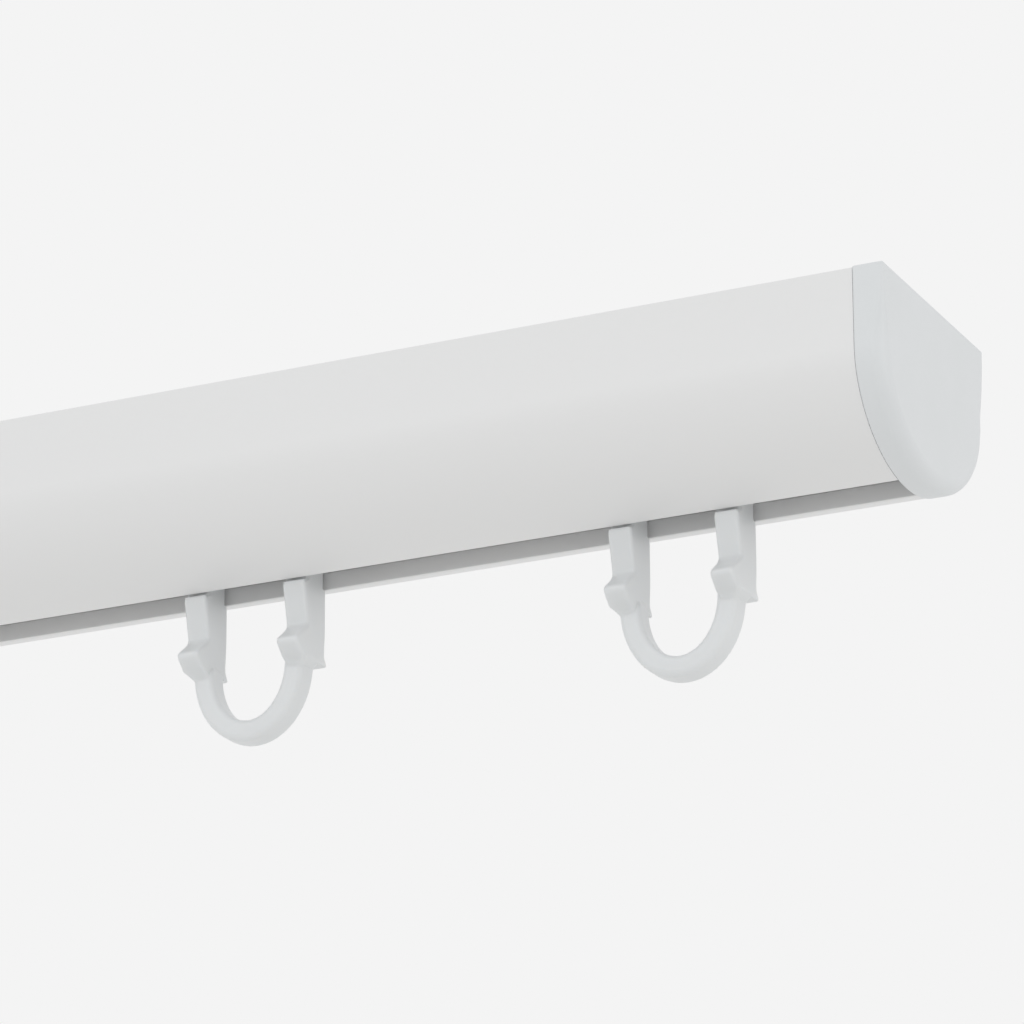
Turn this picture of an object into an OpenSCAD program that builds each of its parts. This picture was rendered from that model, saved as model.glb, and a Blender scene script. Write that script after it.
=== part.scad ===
// Wall-mounted curtain rail: a slotted aluminium rail with a domed underside, end caps,
// sliding U-shaped gliders and two wall brackets with turn-to-lock clips.
// X runs along the rail, +Y points at the wall, +Z is up. Millimetres.
// The origin is the centre of the four wall-screw holes, on the wall's surface.

/* [Rail] */
// Length of the aluminium rail, without its end caps
rail_len = 791.2; // [500:0.1:1200]
// Front-to-back width of the rail
rail_w = 36.2; // [34:0.1:45]
// Height of the rail, top face to the lowest point of its underside
rail_h = 25.4; // [24:0.1:32]
// Height of the upright part of the sides, above the domed part
shoulder_h = 11; // [10:0.1:12]
// Thickness of the outer wall
wall_t = 1.3; // [1:0.1:1.6]
// Thickness of the inner ribs and webs
rib_t = 1.2; // [0.8:0.1:1.6]
// Width between the two inner ribs
channel_w = 16; // [15:0.1:18]
// Width of the slot that the gliders hang through
glide_slot_w = 6.5; // [6:0.1:7.5]
// Clear height of the glider channel
glide_channel_h = 6.5; // [5:0.1:8]
// Thickness of the underside beside the glider slot, measured on the rail's middle
glide_lip_t = 2.9; // [2.7:0.1:3.5]
// Width of the slot that the clips hook into
clip_slot_w = 12; // [11:0.1:13]
// Thickness of the lips beside the clip slot
clip_lip_t = 1.5; // [1.2:0.1:2]
// Clear depth of the clip channel, under the lips
clip_channel_h = 6; // [5.8:0.1:7]

/* [End caps] */
// Thickness of a cap's face plate
cap_t = 4.4; // [3:0.1:6]
// How far a cap stands proud of the rail all round
cap_proud = 0.15; // [0:0.05:0.5]
// Length of the plugs that hold a cap in the rail
plug_len = 12; // [8:0.5:20]
// Wall of a plug
plug_t = 1.4; // [1:0.1:2]

/* [Gliders] */
// Number of gliders
glider_count = 12; // [4:1:16]
// Distance between a glider's two legs, centre to centre
leg_pitch = 15.9; // [14:0.1:20]
// Thickness of a leg along the rail
leg_t = 3.2; // [2.6:0.1:4]
// Depth of a leg at its top, front to back
leg_d = 6.2; // [5.6:0.1:6.4]
// Thickness of the loop's bar, seen from the front
loop_t = 3; // [2.4:0.1:3.6]
// Depth of the loop's bar, front to back
loop_d = 3.8; // [3:0.1:4.2]
// How much nearer the middle the loop's bar stands than the legs do
loop_in = 0.6; // [0:0.1:1]
// Drop from the rail's underside to the underside of the loop
glider_drop = 22.2; // [20:0.1:30]
// Drop from the rail's underside to the barbs' ledges
barb_drop = 11.3; // [9:0.1:13]
// How far a barb stands out in front of its leg
barb_front = 3; // [1.5:0.1:3.5]
// How far a barb stands out behind its leg
barb_back = 0.8; // [0.4:0.1:1.5]
// Height of a barb's slope
barb_h = 4.4; // [3.5:0.1:5]
// Length of a glider's head along the rail
head_l = 6; // [5:0.1:8]
// Height of a glider's head
head_h = 2.4; // [2:0.1:3.5]

/* [Brackets] */
// Distance between the two brackets
bracket_pitch = 400; // [250:1:600]
// Distance from the wall to the middle of the rail
reach = 60; // [50:1:90]
// Width of the bracket's strip
strip_w = 24; // [20:0.5:30]
// Thickness of the bracket's strip
strip_t = 2; // [1.5:0.1:3]
// Distance between a bracket's two screw holes
hole_pitch = 24; // [20:0.5:40]
// Diameter of the screw holes
hole_d = 4.6; // [4:0.1:5.5]
// Drop from the middle of the screw holes to the arm's underside
arm_drop = 28; // [26:0.5:40]
// Height of the plate above the middle of the screw holes
plate_rise = 20; // [18:0.5:30]
// Inner radius of the bracket's bend
bend_r = 2; // [1.5:0.1:4]
// Length of the adjusting slot in the arm
adjust_l = 18; // [10:0.5:24]
// Length of the arm past the middle of the rail
arm_over = 13; // [12:0.5:16]

/* [Clips] */
// Side of the clip's square base
base_w = 27; // [26:0.5:32]
// Thickness of the clip's base
base_t = 3; // [2.5:0.1:5]
// Thickness of the locking lever
lever_t = 2; // [1.6:0.1:3]
// Reach of the lever from its pivot
lever_l = 24; // [22:0.5:28]
// Width of the lever at its tip
lever_w = 8; // [6:0.1:10]
// Thickness of the turning key
key_t = 2.4; // [2:0.1:2.6]
// Diameter of the pivot screw
screw_d = 4; // [3:0.1:4]

/* [Hidden] */
facets = 96;
slide_gap = 0.3;      // between surfaces that slide past each other
pivot_gap = 0.05;     // radial, between the pivot screw and the lever
plug_gap = 0.1;       // round the plugs of a cap
screw_clear = 0.3;    // on the diameter, where the pivot screw passes through
neck_play = 0.8;      // each side of a glider's neck in its slot
head_play = 0.7;      // each side of a glider's head in its channel
key_play = 0.5;       // each side of the turning key as it passes the clip slot
curve_steps = 24;     // steps in each quarter of the domed outline

half_w = rail_w / 2;
half_channel = channel_w / 2;
half_slot = glide_slot_w / 2;
lever_top = -arm_drop - base_t - slide_gap;
rail_top = lever_top - lever_t - slide_gap;
rail_under = rail_top - outline_drop(half_slot, 0);
glide_floor = rail_h - glide_lip_t;
glide_ceiling = glide_floor - glide_channel_h;
clip_floor = clip_lip_t + clip_channel_h;

glider_pitch = rail_len / glider_count;
neck_d = glide_slot_w - 2 * neck_play;
head_w = channel_w - 2 * head_play;
head_z = rail_top - glide_floor + slide_gap;
barb_z = rail_under - barb_drop;
leg_x = leg_pitch / 2;
loop_half = leg_x - loop_in;
loop_depth = glider_drop - barb_drop - loop_t / 2;
loop_blend = 1.6;     // height over which the loop's inner side runs into its legs
leg_taper = 1.2;      // how much the front of a leg leans back, top to barb
neck_drop = 0.6;      // how far the neck reaches below the rail's underside

key_l = channel_w - 2 * slide_gap;
key_w = clip_slot_w - 2 * key_play;
key_top = rail_top - clip_lip_t - slide_gap;
key_under = key_top - key_t;
base_corner = 2.5;
screw_head_d = 1.75 * screw_d;
screw_head_h = 0.6 * screw_d;
hex_socket = 0.6 * screw_d;
washer_d = 2.25 * screw_d;
washer_t = 0.2 * screw_d;
nut_af = 1.75 * screw_d;
nut_h = 0.8 * screw_d;
hub_d = clip_slot_w - 2 * slide_gap;
head_gap = 0.1;       // between the pivot screw's head and the key
thread_over = 1.2;    // how far the pivot screw stands out of its nut
peg_d = 2.6;
peg_out = 10.6;       // from the pivot to each stop peg
peg_angles = [33, 237];  // the lever stops at 0 against the first, at -90 against the second
lug_l = 4;            // length of the lug that enters the clip slot
pad_w = 20;           // width of the pad above the lug, which rests on the rail
gusset_l = 12;
gusset_rise = 9.6;
gusset_t = 3;
plate_corner = 4;
arm_corner = strip_w / 2 - 0.01;
finger_rise = 2.8;    // height of the finger grip at the lever's tip
finger_t = 2.4;       // its thickness

function two_digits(n) = n < 10 ? str("0", n) : str(n);
function glider_name(n) = str("glider_", two_digits(n));
function glider_x(n) = rail_len / 2 - glider_pitch * (n - 0.5);

SIDES = ["left", "right"];
CLIP_PARTS = ["wall_bracket", "clip_base", "lock_lever", "pivot_screw", "lock_washer", "lock_nut"];

// ---------- outline of the rail, looking along +X: +Y is the wall side, the top face is at 0 ----------

// Drop of the domed underside at distance y from the middle, with the wall taken in by inset
function outline_drop(y, inset) =
    shoulder_h + (rail_h - shoulder_h - inset) * sqrt(1 - pow(y / (half_w - inset), 2));

// Points round the domed underside from one side to the other
function dome(inset, start = 0, end = 180) = [
    for (i = [0:2 * curve_steps])
        let (a = start + (end - start) * i / (2 * curve_steps))
        [-(half_w - inset) * cos(a), -shoulder_h - (rail_h - shoulder_h - inset) * sin(a)]
];

module outline(inset = 0) {
    polygon(concat([[half_w - inset, -inset], [-half_w + inset, -inset]], dome(inset)));
}

// The closed cell between the front wall and the front rib
module side_cell(inset = 0) {
    edge = half_channel + rib_t + inset;
    meet = acos(edge / (half_w - wall_t - inset));
    polygon(concat(
        [[-edge, -wall_t - inset], [-half_w + wall_t + inset, -wall_t - inset]],
        dome(wall_t + inset, 0, meet)
    ));
}

module cell(width, from, to) {
    translate([-width / 2, -to])
        square([width, to - from]);
}

module rail_section() {
    difference() {
        outline();
        cell(clip_slot_w, -1, clip_lip_t + 1);
        cell(channel_w, clip_lip_t, clip_floor);
        cell(channel_w, clip_floor + rib_t, glide_ceiling - rib_t);
        cell(channel_w, glide_ceiling, glide_floor);
        cell(glide_slot_w, glide_floor - 1, rail_h + 1);
        side_cell();
        mirror([1, 0])
            side_cell();
    }
}

// Stands a section up in the rail's place, running along X from x to x + length
module along_rail(x, length) {
    translate([x, -reach, rail_top])
        rotate([90, 0, 90])
            linear_extrude(length)
                children();
}

module rail() {
    color("white")
        along_rail(-rail_len / 2, rail_len)
            rail_section();
}

// ---------- end caps ----------

module plug_shell() {
    difference() {
        side_cell(plug_gap);
        side_cell(plug_gap + plug_t);
    }
}

module end_cap_right() {
    color("gainsboro") {
        along_rail(rail_len / 2, cap_t)
            outline(-cap_proud);
        along_rail(rail_len / 2 - plug_len, plug_len + cap_t / 2) {
            plug_shell();
            mirror([1, 0])
                plug_shell();
            cell(channel_w - 2 * plug_gap, clip_floor + rib_t + plug_gap, glide_ceiling - rib_t - plug_gap);
        }
    }
}

module end_cap_left() {
    mirror([1, 0, 0])
        end_cap_right();
}

// ---------- gliders ----------

// A block centred on x and y that stands on z
module box(x, y, z, size) {
    translate([x - size.x / 2, y - size.y / 2, z])
        cube(size);
}

// Side view of a leg and its barbs: the front leans back and both edges flare to a ledge
module leg_side() {
    front = leg_d / 2;
    top = rail_under - neck_drop;
    flare = barb_z + barb_h;
    polygon([
        [-neck_d / 2, head_z],
        [-neck_d / 2, top],
        [-front, top - 0.5],
        [-front + leg_taper, flare],
        [-front + leg_taper - barb_front, barb_z + 2],
        [-front + leg_taper - barb_front * 0.7, barb_z],
        [front + barb_back, barb_z],
        [front, barb_z + 1.2],
        [front, top - 0.5],
        [neck_d / 2, top],
        [neck_d / 2, head_z]
    ]);
}

module leg(x) {
    translate([x - leg_t / 2, 0, 0])
        rotate([90, 0, 90])
            linear_extrude(leg_t)
                leg_side();
}

// The head that runs in the channel, with its two upper edges bevelled
module head(x) {
    bevel = head_h / 3;
    translate([x - head_l / 2, 0, head_z])
        rotate([90, 0, 90])
            linear_extrude(head_l)
                polygon([
                    [-head_w / 2, 0], [head_w / 2, 0], [head_w / 2, head_h - bevel],
                    [head_w / 2 - bevel, head_h], [bevel - head_w / 2, head_h], [-head_w / 2, head_h - bevel]
                ]);
}

// The loop: a half oval of flat-sided bar, whose two ends run up into the legs
module loop() {
    steps = 24;
    blend_z = barb_z + loop_blend;
    outer_x = loop_half + loop_t / 2;
    inner_x = leg_x - leg_t / 2 + 0.1;
    function oval(grow, sign) = [
        for (i = [0:steps])
            let (a = 180 * (sign > 0 ? i : steps - i) / steps)
            [-(loop_half + grow) * cos(a), barb_z - (loop_depth + grow) * sin(a)]
    ];
    translate([0, loop_d / 2, 0])
        rotate([90, 0, 0])
            linear_extrude(loop_d)
                polygon(concat(
                    oval(loop_t / 2, 1), [[outer_x, blend_z], [inner_x, blend_z]],
                    oval(-loop_t / 2, -1), [[-inner_x, blend_z], [-outer_x, blend_z]]
                ));
}

module glider(n) {
    color("gainsboro")
        translate([glider_x(n), -reach, 0]) {
            loop();
            for (side = [-1, 1]) {
                leg(side * leg_x);
                head(side * leg_x);
            }
        }
}

// ---------- wall brackets ----------

module tube(radius, bore, z, height) {
    translate([0, 0, z])
        difference() {
            cylinder(r = radius, h = height, $fn = facets);
            translate([0, 0, -1])
                cylinder(r = bore, h = height + 2, $fn = facets);
        }
}

module rounded_plate(size_x, size_y, radius) {
    square([size_x, size_y - 2 * radius], center = true);
    square([size_x - 2 * radius, size_y], center = true);
    for (x = [-1, 1], y = [-1, 1])
        translate([x * (size_x / 2 - radius), y * (size_y / 2 - radius)])
            circle(r = radius, $fn = facets);
}

// Side view of the bent strip: plate on the wall, arm reaching out over the rail
module strip_side() {
    arm_end = -reach - arm_over;
    corner = bend_r + strip_t;
    plate_top = plate_rise;
    translate([-strip_t, corner - arm_drop])
        square([strip_t, plate_top + arm_drop - corner]);
    translate([arm_end, -arm_drop])
        square([-corner - arm_end, strip_t]);
    translate([-corner, corner - arm_drop])
        intersection() {
            difference() {
                circle(r = corner, $fn = facets);
                circle(r = bend_r, $fn = facets);
            }
            translate([0, -corner])
                square(corner);
        }
}

// What is cut off a square corner at the origin, pointing along +X and +Y, to round it
module corner_waste(radius) {
    translate([-radius, -radius])
        difference() {
            square(radius + 1);
            circle(r = radius, $fn = facets);
        }
}

module wall_bracket() {
    color("white") {
        difference() {
            translate([-strip_w / 2, 0, 0])
                rotate([90, 0, 90])
                    linear_extrude(strip_w)
                        strip_side();
            for (side = [0, 1])
                mirror([side, 0, 0]) {
                    translate([strip_w / 2, 1, plate_rise])
                        rotate([90, 0, 0])
                            linear_extrude(strip_t + 2)
                                corner_waste(plate_corner);
                    translate([strip_w / 2, -reach - arm_over, -arm_drop - 1])
                        mirror([0, 1, 0])
                            linear_extrude(strip_t + 2)
                                corner_waste(arm_corner);
                }
            for (z = [-1, 1])
                translate([0, 1, z * hole_pitch / 2])
                    rotate([90, 0, 0])
                        cylinder(d = hole_d, h = strip_t + 2, $fn = facets);
            translate([0, -reach, -arm_drop - 1])
                linear_extrude(strip_t + 2)
                    for (y = [-1, 1])
                        union() {
                            translate([0, y * (adjust_l - screw_d - screw_clear) / 2])
                                circle(d = screw_d + screw_clear, $fn = facets);
                            square([screw_d + screw_clear, adjust_l - screw_d - screw_clear], center = true);
                        }
        }
        translate([-gusset_t / 2, 0, 0])
            rotate([90, 0, 90])
                linear_extrude(gusset_t)
                    polygon([
                        [-strip_t / 2, -arm_drop + strip_t / 2],
                        [-strip_t - gusset_l, -arm_drop + strip_t / 2],
                        [-strip_t - gusset_l, -arm_drop + strip_t],
                        [-strip_t, -arm_drop + strip_t + gusset_rise],
                        [-strip_t / 2, -arm_drop + strip_t + gusset_rise]
                    ]);
    }
}

// ---------- clips: each is drawn round its pivot, with the lever locked along +X ----------

module clip_base() {
    base_z = -arm_drop - base_t;
    stand = base_z - rail_top;
    lug_x = (lug_l - base_w) / 2;
    color("whitesmoke") {
        difference() {
            translate([0, 0, base_z])
                linear_extrude(base_t)
                    rounded_plate(base_w, base_w, base_corner);
            translate([0, 0, base_z - 1])
                cylinder(d = screw_d, h = base_t + 2, $fn = facets);
        }
        for (a = peg_angles)
            translate([peg_out * cos(a), peg_out * sin(a), rail_top])
                cylinder(d = peg_d, h = stand, $fn = facets);
        box(lug_x, 0, rail_top, [lug_l, pad_w, stand]);
        box(lug_x, 0, rail_top - clip_lip_t, [lug_l, clip_slot_w - 2 * slide_gap, clip_lip_t]);
    }
}

// One cast turning piece: lever on top, hub in the slot, key under the lips
module lock_lever() {
    bore = screw_d / 2 + pivot_gap;
    color("silver")
        difference() {
            union() {
                translate([0, 0, lever_top - lever_t])
                    linear_extrude(lever_t) {
                        circle(d = hub_d, $fn = facets);
                        polygon([
                            [0, -lever_w / 2], [lever_l - lever_w / 2, -lever_w / 2],
                            [lever_l - lever_w / 2, lever_w / 2], [0, lever_w / 2]
                        ]);
                        translate([lever_l - lever_w / 2, 0])
                            circle(d = lever_w, $fn = facets);
                    }
                translate([0, 0, lever_top - lever_t])
                    linear_extrude(lever_t + finger_rise)
                        intersection() {
                            translate([lever_l - lever_w / 2, 0])
                                circle(d = lever_w, $fn = facets);
                            translate([lever_l - finger_t, -lever_w / 2])
                                square([finger_t + 1, lever_w]);
                        }
                translate([0, 0, key_top])
                    cylinder(d = hub_d, h = lever_top - lever_t - key_top, $fn = facets);
                translate([0, 0, key_under])
                    linear_extrude(key_t)
                        intersection() {
                            circle(d = key_l, $fn = facets);
                            square([key_w, key_l], center = true);
                        }
            }
            translate([0, 0, key_under - 1])
                cylinder(r = bore, h = lever_top - key_under + 2, $fn = facets);
        }
}

module pivot_screw() {
    top = -arm_drop + strip_t + washer_t + nut_h + thread_over;
    head_top = key_under - head_gap;
    color("lightgray")
        difference() {
            union() {
                translate([0, 0, head_top])
                    cylinder(d = screw_d, h = top - head_top, $fn = facets);
                translate([0, 0, head_top - screw_head_h])
                    cylinder(d = screw_head_d, h = screw_head_h, $fn = facets);
            }
            translate([0, 0, head_top - screw_head_h - 1])
                cylinder(d = hex_socket / cos(30), h = 1 + screw_head_h * 0.6, $fn = 6);
        }
}

module lock_washer() {
    color("lightgray")
        tube(washer_d / 2, (screw_d + screw_clear) / 2, -arm_drop + strip_t, washer_t);
}

module lock_nut() {
    color("lightgray")
        difference() {
            translate([0, 0, -arm_drop + strip_t + washer_t])
                cylinder(d = nut_af / cos(30), h = nut_h, $fn = 6);
            translate([0, 0, -arm_drop + strip_t + washer_t - 1])
                cylinder(d = screw_d, h = nut_h + 2, $fn = facets);
        }
}

// ---------- the assembly ----------

module shown(name) {
    children();
}

shown("rail") rail();
shown("end_cap_left") end_cap_left();
shown("end_cap_right") end_cap_right();

for (n = [1:glider_count])
    shown(glider_name(n)) glider(n);

for (s = [0, 1]) {
    x = (s - 0.5) * bracket_pitch;
    side = SIDES[s];
    shown(str("wall_bracket_", side))
        translate([x, 0, 0]) wall_bracket();
    translate([x, -reach, 0]) {
        shown(str("clip_base_", side)) clip_base();
        shown(str("lock_lever_", side)) lock_lever();
        shown(str("pivot_screw_", side)) pivot_screw();
        shown(str("lock_washer_", side)) lock_washer();
        shown(str("lock_nut_", side)) lock_nut();
    }
}
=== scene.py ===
# %% [markdown]
# # A curtain rail with its gliders and brackets
#
# A modern curtain rail is an aluminium extrusion with a slot along its underside. White plastic gliders run in
# the slot, moulded caps close the two ends, and bent steel brackets carry the rail with turn-to-lock clips that
# hook into a second slot along the top. This lesson dresses a finished, measured frame of that rail: the frame
# fixes where every part is and how it moves, and each cell below remakes one kind of part with its real edges,
# then gives it its real finish.
#
# The frame is loaded first. Its nodes are plain solids, and the rail's box is noted down.

# %% Load the frame
import math

import bmesh
import bpy
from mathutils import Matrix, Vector


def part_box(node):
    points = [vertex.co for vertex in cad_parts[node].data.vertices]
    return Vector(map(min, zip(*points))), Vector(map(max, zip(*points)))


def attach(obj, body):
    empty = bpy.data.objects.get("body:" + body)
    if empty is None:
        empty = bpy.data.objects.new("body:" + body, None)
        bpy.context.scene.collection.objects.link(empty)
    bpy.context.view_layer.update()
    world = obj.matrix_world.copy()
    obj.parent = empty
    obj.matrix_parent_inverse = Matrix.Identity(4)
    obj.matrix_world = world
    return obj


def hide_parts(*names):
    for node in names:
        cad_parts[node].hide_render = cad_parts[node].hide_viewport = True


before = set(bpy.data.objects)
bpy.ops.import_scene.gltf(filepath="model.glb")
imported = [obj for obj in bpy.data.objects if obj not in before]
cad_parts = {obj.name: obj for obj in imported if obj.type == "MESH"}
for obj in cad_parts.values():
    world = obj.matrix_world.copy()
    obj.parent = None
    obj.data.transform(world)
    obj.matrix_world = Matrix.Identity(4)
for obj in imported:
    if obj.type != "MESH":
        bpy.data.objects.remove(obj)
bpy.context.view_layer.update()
MM = 0.001
NEAR = 0.01 * MM  # two places closer than this are the same

rail_low, rail_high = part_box("rail")
rail_middle = (rail_low + rail_high) / 2
SLOT_EDGE_DEPTH = 25.166 * MM  # from the rail's top to the edges of its lower slot
rail_under = rail_high.z - SLOT_EDGE_DEPTH
print("rail from", rail_low[:], "to", rail_high[:])

# %% [markdown]
# ## The camera
#
# A rail hangs above eye level, so it is seen from below, and from a little past its right-hand end. A long lens
# far away would flatten it and a short one close by would stretch the near end; the slight narrowing of a rail
# towards its far end says how far away the eye is. Here the eye is given from the rail's front top corner, and
# the lens only decides how much of the rail the picture takes in.

# %% Place the camera
EYE_FROM_CORNER = Vector((237.6, -593.3, -264.3)) * MM
EYE_TURN = math.radians(25.85)
EYE_RISE = math.radians(19.83)
LENS_MM = 183.6
SENSOR_MM = 36

corner = Vector((rail_high.x, rail_low.y, rail_high.z))
bpy.ops.object.camera_add(location=corner + EYE_FROM_CORNER, rotation=(math.pi / 2 + EYE_RISE, 0, EYE_TURN))
camera = bpy.context.active_object
camera.name = "camera"
camera.data.sensor_width = SENSOR_MM
camera.data.lens = LENS_MM
camera.data.clip_start, camera.data.clip_end = 0.05, 50
bpy.context.scene.camera = camera
print("the eye is", round(EYE_FROM_CORNER.length, 3), "m from the corner")

# %% [markdown]
# ## The room
#
# White parts on white need soft light from everywhere, or one side turns grey: a photographer hangs them in a
# light tent. The tent here is an even pale sky, a large soft lamp in front and above for the slow fade down the
# rail's face, a weaker one at the right for the end cap, and a pale floor at the depth of a real one, over two
# metres below a rail. The standard view keeps colours as they are measured, without a film curve.

# %% Light the room
def linear(hex_colour):
    """sRGB hex to the linear colour that Blender works in, with alpha 1."""
    parts = [int(hex_colour[i : i + 2], 16) / 255 for i in (1, 3, 5)]
    return (*[c / 12.92 if c <= 0.04045 else ((c + 0.055) / 1.055) ** 2.4 for c in parts], 1.0)


BACKDROP = "#f4f4f4"
FLOOR_DEPTH = 2.3

scene = bpy.context.scene
scene.view_settings.view_transform = "Standard"
scene.view_settings.look = "None"

sky = bpy.data.worlds.new("light_tent")
scene.world = sky
sky.use_nodes = True
sky.node_tree.nodes["Background"].inputs["Color"].default_value = linear(BACKDROP)
sky.node_tree.nodes["Background"].inputs["Strength"].default_value = 1.0
print("the sky is", BACKDROP, "and the view is", scene.view_settings.view_transform)

# %% [markdown]
# Both lamps are square and large for their distance, which is what makes their light soft. The front one is a
# little cool, as daylight film is, and the floor is far wider than anything that the camera can see.

# %% Hang the lamps and lay the floor
COOL = (0.93, 0.97, 1.0)
FLOOR_SIZE = 60


def soft_lamp(name, place, aim, size, power, colour=(1, 1, 1)):
    """A square soft lamp at place, turned towards aim."""
    place, aim = Vector(place), Vector(aim)
    bpy.ops.object.light_add(type="AREA", location=place)
    lamp = bpy.context.active_object
    lamp.name = name
    lamp.data.size = size
    lamp.data.energy = power
    lamp.data.color = colour
    lamp.rotation_euler = (aim - place).to_track_quat("-Z", "Y").to_euler()
    return lamp


soft_lamp("front_lamp", rail_middle + Vector((-0.3, -2.2, 1.1)), rail_middle, 1.6, 5.5, COOL)
soft_lamp("side_lamp", rail_middle + Vector((2.6, -0.5, 0.3)), rail_middle, 1.4, 4.5)

floor_place = (0, 0, -FLOOR_DEPTH)
bpy.ops.mesh.primitive_grid_add(x_subdivisions=8, y_subdivisions=8, size=FLOOR_SIZE, location=floor_place)
floor = bpy.context.active_object
floor.name = "floor"
print("floor at", -FLOOR_DEPTH, "m")

# %% [markdown]
# ## Finishes
#
# Every finish is a principled shader with a pattern made from noise. One small function adds a node, sets it and
# links it, so each material reads as a short list of what the real surface has. Patterns use the object's own
# coordinates in metres: a feature of one millimetre needs a noise scale of a thousand.

# %% A way to add nodes
def add(tree, kind, settings=None, links=None):
    """Adds a node, sets its properties or inputs, and links its inputs from other nodes' outputs."""
    node = tree.nodes.new(kind)
    for key, value in (settings or {}).items():
        if isinstance(key, str) and hasattr(node, key):
            setattr(node, key, value)
        else:
            node.inputs[key].default_value = value
    for key, output in (links or {}).items():
        tree.links.new(output, node.inputs[key])
    return node


def new_material(name, **surface):
    """A material of that name whose shader's own sockets hold the constant values given."""
    material = bpy.data.materials.new(name)
    material.use_nodes = True
    tree = material.node_tree
    shader = tree.nodes["Principled BSDF"]
    for socket, value in surface.items():
        shader.inputs[socket.replace("_", " ")].default_value = value
    return material, tree, shader


# %% [markdown]
# ### Powder coat
#
# The rail and brackets are powder coated: dry polyester powder is baked until it flows into a skin about 0.08 mm
# thick. It is smooth and satin, with a faint orange peel of ripples a millimetre or two across. A gloss paint
# would mirror the room; a powder coat only lets a highlight glow. The ripples are drawn as a very shallow bump,
# and the colour drifts a little over some 60 mm, three times as far along the rail as across it, because the
# rail hangs lengthwise as it goes past the spray guns.

# %% Powder coat
DRIFT_MM = 60
PEEL_DEPTH_MM = 0.012


def powder_coat(name, pale, deep, ripple_mm):
    """White polyester powder coat, IOR 1.5, satin."""
    material, tree, shader = new_material(name, IOR=1.5, Metallic=0.0)
    place = add(tree, "ShaderNodeTexCoord").outputs["Object"]
    drawn = add(tree, "ShaderNodeMapping", {"Scale": (0.33, 1, 1)}, {"Vector": place}).outputs["Vector"]
    drift = add(tree, "ShaderNodeTexNoise", {"Scale": 1000 / DRIFT_MM, "Detail": 1.0}, {"Vector": drawn})
    shades = {"data_type": "RGBA", 6: linear(deep), 7: linear(pale)}
    colour = add(tree, "ShaderNodeMix", shades, {0: drift.outputs["Fac"]})
    tree.links.new(colour.outputs[2], shader.inputs["Base Color"])
    ripple = add(tree, "ShaderNodeTexNoise", {"Scale": 1000 / ripple_mm, "Detail": 1.5}, {"Vector": place})
    satin = add(tree, "ShaderNodeMapRange", {"To Min": 0.34, "To Max": 0.42}, {"Value": ripple.outputs["Fac"]})
    tree.links.new(satin.outputs["Result"], shader.inputs["Roughness"])
    peel = add(tree, "ShaderNodeBump", {"Distance": PEEL_DEPTH_MM * MM}, {"Height": ripple.outputs["Fac"]})
    tree.links.new(peel.outputs["Normal"], shader.inputs["Normal"])
    return material


coated_aluminium = powder_coat("powder_coated_aluminium", "#e4e4e4", "#e2e2e2", 1.6)
coated_steel = powder_coat("powder_coated_steel", "#e4e4e3", "#dfe0df", 1.2)
print("powder coats:", coated_aluminium.name, coated_steel.name)

# %% [markdown]
# ### Moulded plastics
#
# The caps are ABS, the gliders acetal, which is slippery and lets a little light in, and the clip bases nylon.
# All are moulded against a spark-eroded steel surface, which leaves a fine matt grain about 0.1 mm across. That
# is too fine to see from here, so it is drawn at 0.4 mm and kept very shallow. Each plastic is a slightly
# different white: acetal and ABS are cooler than the paint beside them.

# %% Moulded plastics
GRAIN_MM = 0.4
CLOUD_MM = 9
GLOW_WEIGHT = 0.3


def moulded_plastic(name, pale, deep, ior, rough, grain_depth_mm, glow_mm=0.0):
    """A moulded white plastic. glow_mm is how far light travels inside it."""
    material, tree, shader = new_material(name, IOR=ior, Metallic=0.0)
    place = add(tree, "ShaderNodeTexCoord").outputs["Object"]
    drift = add(tree, "ShaderNodeTexNoise", {"Scale": 1000 / CLOUD_MM, "Detail": 2.0}, {"Vector": place})
    shades = {"data_type": "RGBA", 6: linear(deep), 7: linear(pale)}
    colour = add(tree, "ShaderNodeMix", shades, {0: drift.outputs["Fac"]})
    tree.links.new(colour.outputs[2], shader.inputs["Base Color"])
    fine = {"Scale": 1000 / GRAIN_MM, "Detail": 3.0, "Roughness": 0.6}
    grain = add(tree, "ShaderNodeTexNoise", fine, {"Vector": place}).outputs["Fac"]
    matt = add(tree, "ShaderNodeMapRange", {"To Min": rough - 0.05, "To Max": rough + 0.06}, {"Value": grain})
    tree.links.new(matt.outputs["Result"], shader.inputs["Roughness"])
    skin = add(tree, "ShaderNodeBump", {"Distance": grain_depth_mm * MM}, {"Height": grain})
    tree.links.new(skin.outputs["Normal"], shader.inputs["Normal"])
    if glow_mm:
        shader.inputs["Subsurface Weight"].default_value = GLOW_WEIGHT
        shader.inputs["Subsurface Scale"].default_value = glow_mm * MM
        shader.inputs["Subsurface Radius"].default_value = (1.0, 0.95, 0.9)
    return material


cap_abs = moulded_plastic("moulded_abs", "#dcdee0", "#d8dbdc", 1.53, 0.42, 0.006)
glider_acetal = moulded_plastic("moulded_acetal", "#e0e2e3", "#d9dbdc", 1.48, 0.34, 0.004, glow_mm=1.2)
clip_nylon = moulded_plastic("moulded_nylon", "#e0e1de", "#d9dad6", 1.53, 0.5, 0.008)
print("plastics:", cap_abs.name, glider_acetal.name, clip_nylon.name)

# %% [markdown]
# ### Plated metals
#
# Screws, washers and nuts are steel with a thin zinc plate and a clear passivation film, which tints the bright
# metal faintly blue and straw in patches some 5 mm across, and handling scuffs it at about a millimetre. The
# levers are cast zinc, plated too, but duller, with the soft pits of a casting.

# %% Plated metals
FILM_MM = 5
SCUFF_MM = 1.1


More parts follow.
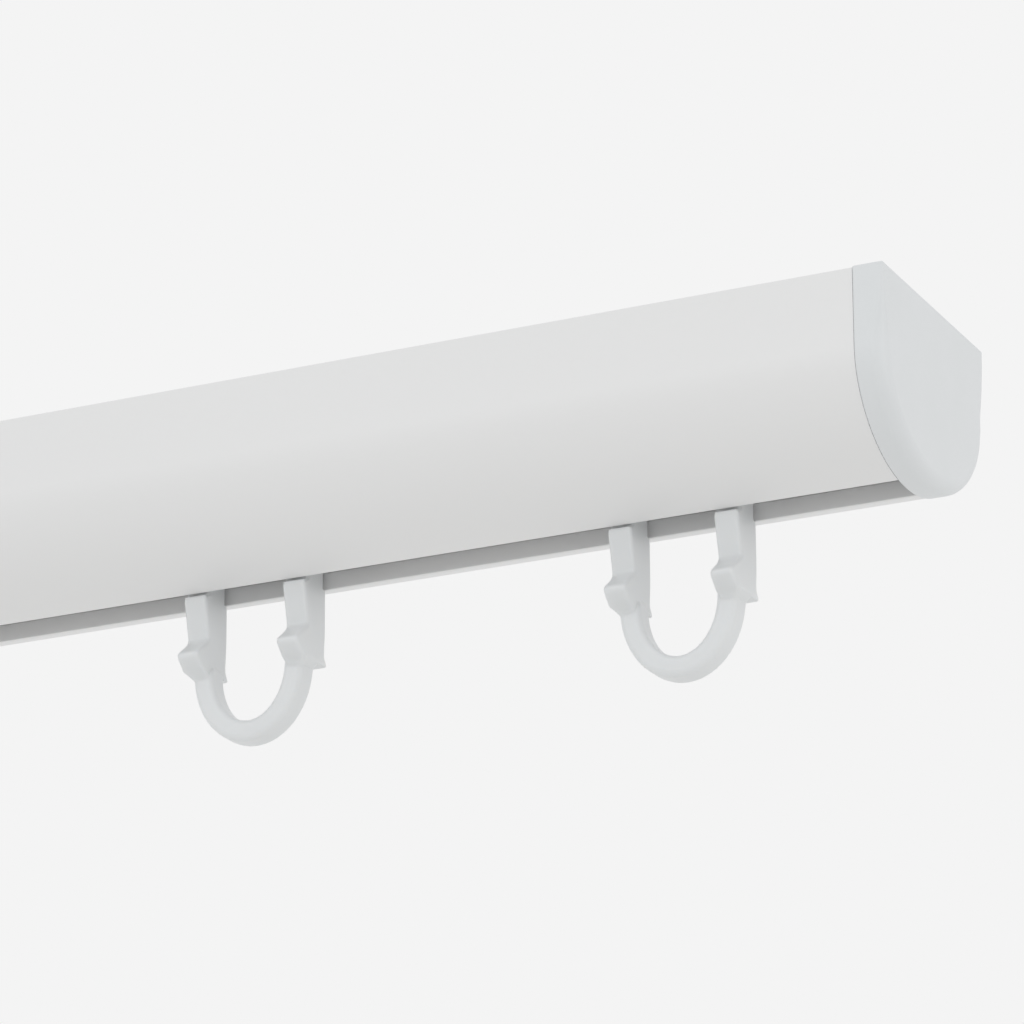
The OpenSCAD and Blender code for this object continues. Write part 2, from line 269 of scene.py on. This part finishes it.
def plated_metal(name, cool, warm, smooth, coarse, pit_mm, pit_depth_mm):
    """Bright zinc plate on steel or on a zinc casting."""
    material, tree, shader = new_material(name, Metallic=1.0)
    place = add(tree, "ShaderNodeTexCoord").outputs["Object"]
    film = add(tree, "ShaderNodeTexNoise", {"Scale": 1000 / FILM_MM, "Detail": 2.0}, {"Vector": place})
    shades = {"data_type": "RGBA", 6: linear(cool), 7: linear(warm)}
    colour = add(tree, "ShaderNodeMix", shades, {0: film.outputs["Fac"]})
    tree.links.new(colour.outputs[2], shader.inputs["Base Color"])
    scuffs = {"Scale": 1000 / SCUFF_MM, "Detail": 4.0, "Roughness": 0.65}
    wear = add(tree, "ShaderNodeTexNoise", scuffs, {"Vector": place}).outputs["Fac"]
    polish = add(tree, "ShaderNodeMapRange", {"To Min": smooth, "To Max": coarse}, {"Value": wear})
    tree.links.new(polish.outputs["Result"], shader.inputs["Roughness"])
    pits = add(tree, "ShaderNodeTexNoise", {"Scale": 1000 / pit_mm, "Detail": 3.0}, {"Vector": place})
    dents = add(tree, "ShaderNodeBump", {"Distance": pit_depth_mm * MM}, {"Height": pits.outputs["Fac"]})
    tree.links.new(dents.outputs["Normal"], shader.inputs["Normal"])
    return material


plated_steel = plated_metal("zinc_plated_steel", "#c5cbd2", "#d2cfc5", 0.2, 0.34, 0.5, 0.006)
cast_zinc = plated_metal("plated_zinc_casting", "#b9bdc2", "#c3c2be", 0.34, 0.5, 0.9, 0.02)
print("metals:", plated_steel.name, cast_zinc.name)

# %% [markdown]
# ### The floor
#
# A plain pale floor, matt, with the faint mottling of poured resin so that it isn't a dead flat colour.

# %% Floor finish
MOTTLE_MM = 900
resin, resin_tree, resin_shader = new_material("pale_poured_resin", IOR=1.5, Roughness=0.8)
where = add(resin_tree, "ShaderNodeTexCoord").outputs["Object"]
mottle = add(resin_tree, "ShaderNodeTexNoise", {"Scale": 1000 / MOTTLE_MM, "Detail": 3.0}, {"Vector": where})
pour = {"data_type": "RGBA", 6: linear("#f1f1f0"), 7: linear("#f5f5f4")}
poured = add(resin_tree, "ShaderNodeMix", pour, {0: mottle.outputs["Fac"]})
resin_tree.links.new(poured.outputs[2], resin_shader.inputs["Base Color"])
floor.data.materials.append(resin)
print("the floor is", resin.name)

# %% [markdown]
# ## Working on a mesh
#
# Modelling by hand is: go into edit mode, select something, apply a tool. The small helpers here do the same in
# code: `only` makes one piece active, `edit` opens it, and `pick` selects by place or direction. Everything else
# is Blender's own tools. A part of the frame is a cloud of loose triangles, so a copy of it is merged and its
# flat triangles dissolved before any edge can be rounded.

# %% Select and copy
MERGE_MM = 0.002


def only(piece):
    """Makes piece the one selected and active object."""
    if bpy.context.mode != "OBJECT":
        bpy.ops.object.mode_set(mode="OBJECT")
    bpy.ops.object.select_all(action="DESELECT")
    piece.select_set(True)
    bpy.context.view_layer.objects.active = piece
    return piece


def edit(piece, mode="FACE"):
    """Opens piece in edit mode with nothing selected."""
    only(piece)
    bpy.ops.object.mode_set(mode="EDIT")
    bpy.ops.mesh.select_mode(type=mode)
    bpy.ops.mesh.select_all(action="DESELECT")


def pick(piece, kind, wanted):
    """Selects the verts, edges or faces of the open mesh for which wanted is true, and returns how many."""
    mesh = bmesh.from_edit_mesh(piece.data)
    found = [item for item in getattr(mesh, kind) if wanted(item)]
    for item in found:
        item.select_set(True)
    mesh.select_flush_mode()
    bmesh.update_edit_mesh(piece.data)
    return len(found)


def merged_copy(node, name):
    """A new piece with a copy of a frame node's mesh, merged, with flat triangles joined up."""
    piece = bpy.data.objects.new(name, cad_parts[node].data.copy())
    bpy.context.scene.collection.objects.link(piece)
    only(piece)
    bpy.ops.mesh.customdata_custom_splitnormals_clear()
    edit(piece, "VERT")
    bpy.ops.mesh.select_all(action="SELECT")
    bpy.ops.mesh.remove_doubles(threshold=MERGE_MM * MM)
    bpy.ops.mesh.dissolve_limited(angle_limit=math.radians(0.5))
    bpy.ops.object.mode_set(mode="OBJECT")
    return piece


# %% [markdown]
# Two helpers end nearly every piece. One rounds the sharp edges with a bevel. The other shades the piece, gives
# it its material, and puts it in the frame in place of its plain solid. Weighted normals make a large flat face
# shade as flat right up to its rounded edges, where plain smooth shading would spread the rounding across it.

# %% Round and finish
def round_edges(piece, width_mm):
    """Rounds every edge sharper than 35 degrees with a bevel, and applies it."""
    only(piece)
    bevel = piece.modifiers.new("edges", "BEVEL")
    bevel.width = width_mm * MM
    bevel.segments = 3
    bevel.limit_method = "ANGLE"
    bevel.angle_limit = math.radians(35)
    bevel.use_clamp_overlap = True
    bpy.ops.object.modifier_apply(modifier=bevel.name)


def finish_piece(piece, material, body, node, smooth_angle=35):
    """Smooths, paints and mounts a finished piece in place of its frame node."""
    only(piece)
    bpy.ops.object.shade_smooth_by_angle(angle=math.radians(smooth_angle))
    flatness = piece.modifiers.new("flatness", "WEIGHTED_NORMAL")
    flatness.keep_sharp = True
    bpy.ops.object.modifier_apply(modifier=flatness.name)
    piece.data.materials.clear()
    piece.data.materials.append(material)
    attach(piece, body)
    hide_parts(node)
    print(piece.name, len(piece.data.polygons), "faces")
    return piece


# %% [markdown]
# ## The rail
#
# Aluminium is pushed hot through a steel die, so a rail is one section drawn out to any length: outer skin, two
# ribs, the open channels above and below, and closed cells that keep it light and stiff. The die's corners are
# never perfectly sharp, and the powder rounds them further, to about a fifth of a millimetre. So the section
# comes first: it is taken from the frame's end face as a bare outline, its corners are rounded, and only then is
# it drawn out to the full length and closed at the ends. Rounding corners afterwards would mean a bevel along
# every long edge and a muddle at each end.

# %% Draw out the rail
CORNER_MM = 0.2
rail = merged_copy("rail", "rail_extrusion")
rail_x0, rail_x1 = rail_low.x, rail_high.x


def corner_angle(vert):
    """How sharply an outline turns at a vertex, in degrees."""
    a, b = [edge.other_vert(vert).co - vert.co for edge in vert.link_edges]
    return 180 - math.degrees(a.angle(b))


edit(rail, "FACE")
pick(rail, "faces", lambda f: f.calc_center_median().x > rail_x0 + NEAR)
bpy.ops.mesh.delete(type="FACE")
bpy.ops.mesh.select_all(action="SELECT")
bpy.ops.mesh.region_to_loop()
bpy.ops.mesh.select_all(action="INVERT")
bpy.ops.mesh.delete(type="EDGE")
bpy.ops.mesh.select_mode(type="VERT")
corners = pick(rail, "verts", lambda v: len(v.link_edges) == 2 and corner_angle(v) > 20)
bpy.ops.mesh.bevel(offset_type="OFFSET", offset=CORNER_MM * MM, segments=4, affect="VERTICES")
bpy.ops.mesh.select_all(action="SELECT")
bpy.ops.mesh.extrude_edges_move(TRANSFORM_OT_translate={"value": (rail_x1 - rail_x0, 0, 0)})
bpy.ops.mesh.fill()
bpy.ops.mesh.select_all(action="DESELECT")
pick(rail, "edges", lambda e: all(abs(v.co.x - rail_x0) < NEAR for v in e.verts))
bpy.ops.mesh.fill()
bpy.ops.mesh.select_all(action="SELECT")
bpy.ops.mesh.normals_make_consistent(inside=False)
bpy.ops.object.mode_set(mode="OBJECT")
print(corners, "corners rounded to", CORNER_MM, "mm")
finish_piece(rail, coated_aluminium, "rail_assembly", "rail", smooth_angle=30)

# %% [markdown]
# ## The end caps
#
# A cap is moulded, with hollow plugs that grip inside the rail's closed cells and a face plate that covers the
# cut end. Its face rolls over into the domed underside with a radius of about two millimetres, while the top and
# the upper sides stay crisp, so that the rail looks square against a ceiling. Where the cap meets the rail, its
# edge is eased a little, and the small groove there reads as the seam.
#
# One bevel does all of this. Each edge gets a weight, and the bevel is as wide as its greatest radius times that
# weight. The straight sides are subdivided first, so that the radius can grow on its way down. It has to be
# whole where the curve begins: where two edges meet at a slight angle, a change of width folds the bevel over.

# %% Round the caps
RIM_MM = 2.0
CRISP_MM = 0.25
SEAM_MM = 0.35
SIDE_CUTS = 12
SHOULDER_MM = 11
FULL_BY = 1.06  # a little over 1, so that the last piece of the straight side already has the whole radius

shoulder = rail_high.z - SHOULDER_MM * MM


def make_cap(side, outward):
    """outward is the X of the cap's own direction: 1 at the right end, -1 at the left."""
    node = "end_cap_" + side
    low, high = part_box(node)
    face_x, seam_x = (high.x, rail_high.x) if outward > 0 else (low.x, rail_low.x)
    cap = merged_copy(node, "cap_" + side)

    def at(edge, axis, value):
        return all(abs(vert.co[axis] - value) < NEAR for vert in edge.verts)

    def sharp(edge):
        return edge.is_manifold and edge.is_convex and edge.calc_face_angle() > math.radians(40)

    edit(cap, "EDGE")
    pick(cap, "edges", lambda e: at(e, 0, face_x) and (at(e, 1, low.y) or at(e, 1, high.y)))
    bpy.ops.mesh.subdivide(number_cuts=SIDE_CUTS)
    bpy.ops.mesh.select_mode(type="FACE")
    for axis, value in ((0, face_x), (1, low.y), (1, high.y)):
        bpy.ops.mesh.select_all(action="DESELECT")
        pick(cap, "faces", lambda f: all(abs(v.co[axis] - value) < NEAR for v in f.verts))
        bpy.ops.mesh.dissolve_faces()
    mesh = bmesh.from_edit_mesh(cap.data)
    weight = mesh.edges.layers.float.new("bevel_weight_edge")
    for edge in filter(sharp, mesh.edges):
        middle = (edge.verts[0].co + edge.verts[1].co) / 2
        if at(edge, 2, high.z):
            edge[weight] = CRISP_MM / RIM_MM
        elif at(edge, 0, seam_x):
            edge[weight] = SEAM_MM / RIM_MM
        elif at(edge, 0, face_x):
            down = min(1.0, FULL_BY * (high.z - middle.z) / (high.z - shoulder))
            edge[weight] = (CRISP_MM + (RIM_MM - CRISP_MM) * down * down) / RIM_MM
    bmesh.update_edit_mesh(cap.data)
    bpy.ops.object.mode_set(mode="OBJECT")
    bevel = cap.modifiers.new("rim", "BEVEL")
    bevel.limit_method = "WEIGHT"
    bevel.width = RIM_MM * MM
    bevel.segments = 6
    bevel.use_clamp_overlap = False
    bpy.ops.object.modifier_apply(modifier=bevel.name)
    return finish_piece(cap, cap_abs, "rail_assembly", node, smooth_angle=40)


make_cap("right", 1)
make_cap("left", -1)

# %% [markdown]
# ## The gliders
#
# A glider is a small acetal moulding: two heads run in the rail, their necks pass the slot, each leg has a barb
# at front and back that keeps a hook's eye from riding up, and a rounded loop joins the legs below. Seen from
# the front it is symmetrical, so half of it is made and mirrored.
#
# The half is made of two bars. One is the loop: a small rectangle with well rounded corners starts at the lowest
# point and is extruded round a quarter oval, up into the leg. The other is the leg: a crisper rectangle starts
# inside the loop, and is extruded up through the barbs and the neck into the head. A union makes them one.
# Two helpers drive both extrusions: one extrudes the end face to a place, and the other sets how far that face
# reaches in each direction.

# %% Start a bar and extrude it
glider_low, glider_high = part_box("glider_01")
gliders = sorted(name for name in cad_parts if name.startswith("glider_"))


def start_bar(name, centre, size, rotation, corner_mm):
    """A rounded rectangle of that size in millimetres, open in edit mode as the end face of a new bar."""
    bpy.ops.object.select_all(action="DESELECT")
    bpy.ops.mesh.primitive_plane_add(size=MM, location=centre, rotation=rotation)
    bar = bpy.context.active_object
    bar.name = name
    bar.scale = (*size, 1)
    bpy.ops.object.transform_apply(location=True, rotation=True, scale=True)
    edit(bar, "VERT")
    bpy.ops.mesh.select_all(action="SELECT")
    bpy.ops.mesh.bevel(offset_type="OFFSET", offset=corner_mm * MM, segments=5, affect="VERTICES")
    bpy.ops.mesh.select_mode(type="FACE")
    bpy.ops.mesh.select_all(action="SELECT")
    return bar


def end_face(bar):
    """Centre and size of the selected end face of the open bar."""
    points = [v.co.copy() for v in bmesh.from_edit_mesh(bar.data).verts if v.select]
    low = Vector(map(min, zip(*points)))
    high = Vector(map(max, zip(*points)))
    return (low + high) / 2, high - low


def grow_to(bar, x, z):
    """Extrudes the end face so that its centre comes to x and z."""
    here, _ = end_face(bar)
    bpy.ops.mesh.extrude_region_move(TRANSFORM_OT_translate={"value": (x - here.x, 0, z - here.z)})


def widen(bar, inner, outer, front, back):
    """Makes the end face reach from inner to outer in X and from front to back in Y, in millimetres."""
    centre, size = end_face(bar)
    scale = ((outer - inner) * MM / size.x, (back - front) * MM / size.y, 1)
    bpy.ops.transform.resize(value=scale, center_override=centre)
    shift = ((inner + outer) / 2 * MM - centre.x, (front + back) / 2 * MM - centre.y, 0)
    bpy.ops.transform.translate(value=shift)


def close_bar(bar):
    """Turns the finished bar's faces outwards and leaves edit mode."""
    bpy.ops.mesh.select_all(action="SELECT")
    bpy.ops.mesh.normals_make_consistent(inside=False)
    bpy.ops.object.mode_set(mode="OBJECT")
    print(bar.name, len(bar.data.polygons), "faces")


# %% [markdown]
# Round the loop the end face turns a little at each step, so that it stays square to the bar. Its last three
# steps lean outwards into the leg and get thinner, which blends the loop's inner side into the leg's.

# %% Bend the loop
BAR_T = 3.1
BAR_D = 4.0
BAR_ROUND = 0.95
LOOP_OUT = 7.2
LOOP_STEPS = 20
LOOP_END = ((0.5, 7.3, 3.0), (1.2, 7.55, 2.9), (2.2, 7.95, 2.6))  # height, middle in X, thickness
LOOP_END_HALF = 1.6
BARB_DROP = 11.3
BARB_LEDGE = rail_under - BARB_DROP * MM
LOOP_DEPTH = (BARB_LEDGE - glider_low.z) / MM - BAR_T / 2

lowest = (0, 0, glider_low.z + BAR_T / 2 * MM)
loop = start_bar("glider_loop", lowest, (BAR_T, BAR_D), (0, math.pi / 2, 0), BAR_ROUND)
last_slope = 0
for step in range(1, LOOP_STEPS + 1):
    angle = math.pi / 2 * step / LOOP_STEPS
    slope = math.atan2(LOOP_DEPTH * math.sin(angle), LOOP_OUT * math.cos(angle))
    grow_to(loop, LOOP_OUT * math.sin(angle) * MM, BARB_LEDGE - LOOP_DEPTH * math.cos(angle) * MM)
    bpy.ops.transform.rotate(value=slope - last_slope, orient_axis="Y", center_override=end_face(loop)[0])
    last_slope = slope
middle, size = end_face(loop)
print("the loop ends at", [round(c / MM, 2) for c in middle], "and is", [round(c / MM, 2) for c in size], "mm there")
for height, x, thick in LOOP_END:
    grow_to(loop, x * MM, BARB_LEDGE + height * MM)
    widen(loop, x - thick / 2, x + thick / 2, -LOOP_END_HALF, LOOP_END_HALF)
close_bar(loop)

# %% [markdown]
# The leg goes straight up. Each row says how high above the barbs' ledge a section is and how far it reaches:
# inwards, outwards, to the front and to the back. Rows that are close together make a corner, and rows further
# apart a curve. The front barb is a rounded nose that grows out of the loop in a scoop, and the back one is a
# short sharp spur, so only the nose is smoothed.

# %% List the leg's sections
LEG_ROUND = 0.5
FOOT_MM = 1.6
FOOT = (6.6, 8.2, -1.5, 1.0)  # inner, outer, front, back
IN, OUT = 6.05, 9.72
UNDER = (rail_under - BARB_LEDGE) / MM
HEAD_TOP = (glider_high.z - BARB_LEDGE) / MM
HEAD_LOW = HEAD_TOP - 2.4
HEAD_HALF = (glider_high.y - glider_low.y) / 2 / MM
HEAD_OUT = (glider_high.x - glider_low.x) / 2 / MM
HEAD_IN = HEAD_OUT - 6
SECTIONS = [  # height, inner, outer, front, back
    (-0.9, 6.3, 8.75, -2.0, 1.3),
    (-0.4, 6.16, 9.2, -2.5, 1.5),
    (-0.06, 6.1, 9.55, -3.05, 1.75),
    (0, IN + 0.02, OUT - 0.06, -3.15, 3.75),
    (0.15, IN, OUT, -3.45, 3.9),
    (0.6, IN, OUT, -4.15, 3.72),
    (1.0, IN, OUT, -4.75, 3.4),
    (1.3, IN, OUT, -5.2, 3.32),
    (1.6, IN, OUT, -5.5, 3.3),
    (1.9, IN, OUT, -5.6, 3.3),
    (2.2, IN, OUT, -5.4, 3.3),
    (2.6, IN, OUT, -4.85, 3.3),
    (3.1, IN, OUT, -4.0, 3.3),
    (3.6, IN, OUT, -3.2, 3.3),
    (4.3, IN, OUT, -2.4, 3.3),
    (4.7, IN, OUT, -2.12, 3.3),
    (5.2, IN, OUT, -2.05, 3.3),
    (5.9, IN, OUT, -2.2, 3.3),
    (UNDER - 0.9, IN, OUT, -3.4, 3.3),
    (UNDER - 0.3, IN, OUT, -3.3, 3.2),
    (UNDER - 0.15, IN, OUT, -2.45, 2.45),
    (HEAD_LOW - 0.3, IN, OUT, -2.45, 2.45),
    (HEAD_LOW - 0.05, IN - 0.15, OUT + 0.15, -2.6, 2.6),
    (HEAD_LOW, HEAD_IN + 0.3, HEAD_OUT - 0.3, 0.3 - HEAD_HALF, HEAD_HALF - 0.3),
    (HEAD_LOW + 0.1, HEAD_IN + 0.08, HEAD_OUT - 0.08, 0.08 - HEAD_HALF, HEAD_HALF - 0.08),
    (HEAD_LOW + 0.35, HEAD_IN, HEAD_OUT, -HEAD_HALF, HEAD_HALF),
    (HEAD_TOP - 0.9, HEAD_IN, HEAD_OUT, -HEAD_HALF, HEAD_HALF),
    (HEAD_TOP - 0.5, HEAD_IN + 0.12, HEAD_OUT - 0.12, 0.2 - HEAD_HALF, HEAD_HALF - 0.2),
    (HEAD_TOP - 0.2, HEAD_IN + 0.4, HEAD_OUT - 0.4, 0.5 - HEAD_HALF, HEAD_HALF - 0.5),
    (HEAD_TOP, HEAD_IN + 1.0, HEAD_OUT - 1.0, 1.1 - HEAD_HALF, HEAD_HALF - 1.1),
]
print(len(SECTIONS), "sections from the loop up to the top of the head")

# %% [markdown]
# The first section's long edges are cut into four, so that the nose has points in the middle to smooth. Then the
# end face climbs from row to row.

# %% Extrude the leg, the barbs and the head
ledge = Vector(((IN + OUT) / 2 * MM, 0, BARB_LEDGE))
foot = ledge - Vector((0, 0, FOOT_MM * MM))
leg = start_bar("glider_leg", foot, (OUT - IN, BAR_D), (0, 0, 0), LEG_ROUND)
widen(leg, *FOOT)
bpy.ops.mesh.select_mode(type="EDGE")
bpy.ops.mesh.select_all(action="DESELECT")
pick(leg, "edges", lambda e: e.calc_length() > 2 * MM and abs(e.verts[0].co.y - e.verts[1].co.y) < NEAR)
bpy.ops.mesh.subdivide(number_cuts=3)
bpy.ops.mesh.select_mode(type="FACE")
bpy.ops.mesh.select_all(action="SELECT")
bpy.ops.mesh.dissolve_faces()
for height, inner, outer, front, back in SECTIONS:
    grow_to(leg, (inner + outer) / 2 * MM, BARB_LEDGE + height * MM)
    widen(leg, inner, outer, front, back)
bpy.ops.mesh.select_mode(type="VERT")
bpy.ops.mesh.select_all(action="DESELECT")
nose = pick(leg, "verts", lambda v: v.co.y < -2.3 * MM and 0.3 * MM < v.co.z - BARB_LEDGE < 4.5 * MM)
bpy.ops.mesh.vertices_smooth(factor=0.5, repeat=7, wait_for_input=False)
print(nose, "points smoothed in the nose")
close_bar(leg)

# %% [markdown]
# The loop is joined to the leg, the half is mirrored, and the two halves meet at the loop's lowest point. One
# finished glider is copied to every place along the rail, and each copy gets a mesh of its own with its place
# in it.

# %% Join, mirror and copy the gliders
half = only(leg)
union = half.modifiers.new("loop_and_leg", "BOOLEAN")
union.operation = "UNION"
union.solver = "EXACT"
union.object = loop
bpy.ops.object.modifier_apply(modifier=union.name)
bpy.data.objects.remove(loop)
edit(half, "FACE")
pick(half, "faces", lambda f: abs(f.calc_center_median().x) < 0.001 * MM)
bpy.ops.mesh.delete(type="FACE")
bpy.ops.object.mode_set(mode="OBJECT")
mirror = half.modifiers.new("other_half", "MIRROR")
mirror.use_axis = (True, False, False)
mirror.merge_threshold = NEAR
bpy.ops.object.modifier_apply(modifier=mirror.name)
edit(half, "FACE")
bpy.ops.mesh.select_all(action="SELECT")
bpy.ops.mesh.normals_make_consistent(inside=False)
open_edges = sum(not edge.is_manifold for edge in bmesh.from_edit_mesh(half.data).edges)
bpy.ops.object.mode_set(mode="OBJECT")
print("one glider:", len(half.data.polygons), "faces and", open_edges, "open edges")

# %% Copy the gliders along the rail
for node in gliders:
    low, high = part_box(node)
    only(half)
    bpy.ops.object.duplicate()
    glider = bpy.context.active_object
    glider.name = node.replace("glider", "acetal_glider")
    glider.location = ((low.x + high.x) / 2, (low.y + high.y) / 2, 0)
    bpy.ops.object.transform_apply(location=True, rotation=True, scale=True)
    finish_piece(glider, glider_acetal, node, node, smooth_angle=60)
bpy.data.objects.remove(half)

# %% [markdown]
# ## The brackets and clips
#
# The brackets are bent from steel strip and the clips are small mouldings and castings. What makes such parts
# look real close up is that no edge is sharp: a punched strip has a burr knocked off it, a moulding has a
# radius, and a casting has a bigger one. Each is a merged copy of its frame node with its edges rounded by the
# amount that its way of making leaves.

# %% Round the brackets, clip bases and levers
SIDES = ("left", "right")
SOFT_EDGED = [  # frame node, new name, edge radius in mm, material, slot
    ("wall_bracket", "bent_bracket", 0.3, coated_steel, "bracket_steel"),
    ("clip_base", "nylon_clip_base", 0.35, clip_nylon, "clip_plastic"),
    ("lock_lever", "cast_lever", 0.3, cast_zinc, "plated_zinc"),
]
for part, new_name, radius, material, slot in SOFT_EDGED:
    for side in SIDES:
        node = f"{part}_{side}"
        body = node if part == "lock_lever" else "rail_assembly"
        piece = merged_copy(node, f"{new_name}_{side}")
        round_edges(piece, radius)
        finish_piece(piece, material, body, node)

# %% [markdown]
# ### The nuts
#
# A hexagon nut is turned from bar, so both its faces are chamfered by one cone each, and each corner gets a
# curved scallop where the cone meets the flats. The same cut does it here: a drum with tapered ends, made from a
# cylinder whose end faces are extruded and scaled in, and what the nut and the drum have in common is kept.

# %% Chamfer the nuts
CHAMFER_MM = 0.42
CHAMFER_IN = 0.845

for side in SIDES:
    node = "lock_nut_" + side
    low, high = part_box(node)
    nut = merged_copy(node, "plated_nut_" + side)
    bpy.ops.object.select_all(action="DESELECT")
    bpy.ops.mesh.primitive_cylinder_add(
        vertices=96,
        radius=(high.x - low.x) / 2,
        depth=high.z - low.z - 2 * CHAMFER_MM * MM,
        location=(low + high) / 2,
    )
    drum = bpy.context.active_object
    bpy.ops.object.transform_apply(location=True, rotation=True, scale=True)
    for way in (1, -1):
        edit(drum, "FACE")
        pick(drum, "faces", lambda f: f.normal.z * way > 0.9)
        bpy.ops.mesh.extrude_region_move(TRANSFORM_OT_translate={"value": (0, 0, way * CHAMFER_MM * MM)})
        end = (low + high) / 2
        bpy.ops.transform.resize(value=(CHAMFER_IN, CHAMFER_IN, 1), center_override=end)
    only(nut)
    common = nut.modifiers.new("chamfer", "BOOLEAN")
    common.operation = "INTERSECT"
    common.solver = "EXACT"
    common.object = drum
    bpy.ops.object.modifier_apply(modifier=common.name)
    bpy.data.objects.remove(drum)
    finish_piece(nut, plated_steel, "rail_assembly", node, smooth_angle=25)

# %% [markdown]
# ### The lock washers
#
# A spring lock washer is one turn of square wire, cut through at a slant, and its two cut ends are set a little
# apart in height so that they dig in. A thin block set at that slant is taken out of the plain ring.

# %% Split the lock washers
SPLIT_MM = 0.5

for side in SIDES:
    node = "lock_washer_" + side
    low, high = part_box(node)
    washer = merged_copy(node, "plated_washer_" + side)
    gap_at = Vector((high.x, (low.y + high.y) / 2, (low.z + high.z) / 2))
    bpy.ops.object.select_all(action="DESELECT")
    bpy.ops.mesh.primitive_cube_add(size=MM, location=gap_at, rotation=(math.radians(35), 0, 0))
    slit = bpy.context.active_object
    slit.scale = (6, SPLIT_MM, 4)
    only(washer)
    cut = washer.modifiers.new("slit", "BOOLEAN")
    cut.operation = "DIFFERENCE"
    cut.solver = "EXACT"
    cut.object = slit
    bpy.ops.object.modifier_apply(modifier=cut.name)
    bpy.data.objects.remove(slit)
    round_edges(washer, 0.1)
    finish_piece(washer, plated_steel, "rail_assembly", node)

# %% [markdown]
# ### The pivot screws
#
# Little more than one turn of thread stands out of the nut. It is drawn as rings, the way a thread looks from the
# side: the shank is cut across at each crest and root with a bisecting plane, and the roots and the end are
# scaled in.

# %% Thread the screws
THREAD = ((0.25, 1.0), (0.45, 0.87), (0.6, 0.87), (0.85, 1.0))  # depth in mm, and how far in
TIP_RADIUS = 0.84

for side in SIDES:
    node = "pivot_screw_" + side
    low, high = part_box(node)
    screw = merged_copy(node, "plated_screw_" + side)
    round_edges(screw, 0.2)
    edit(screw, "VERT")
    for depth, _ in THREAD:
        bpy.ops.mesh.select_all(action="SELECT")
        plane = (low.x, low.y, high.z - depth * MM)
        bpy.ops.mesh.bisect(plane_co=plane, plane_no=(0, 0, 1))
    for depth, radius in THREAD:
        bpy.ops.mesh.select_all(action="DESELECT")
        pick(screw, "verts", lambda v: abs(v.co.z - high.z + depth * MM) < 0.02 * MM)
        bpy.ops.transform.resize(value=(radius, radius, 1), center_override=(low + high) / 2)
    bpy.ops.mesh.select_all(action="DESELECT")
    pick(screw, "verts", lambda v: v.co.z > high.z - 0.05 * MM)
    bpy.ops.transform.resize(value=(TIP_RADIUS, TIP_RADIUS, 1), center_override=(low + high) / 2)
    bpy.ops.object.mode_set(mode="OBJECT")
    finish_piece(screw, plated_steel, "rail_assembly", node)
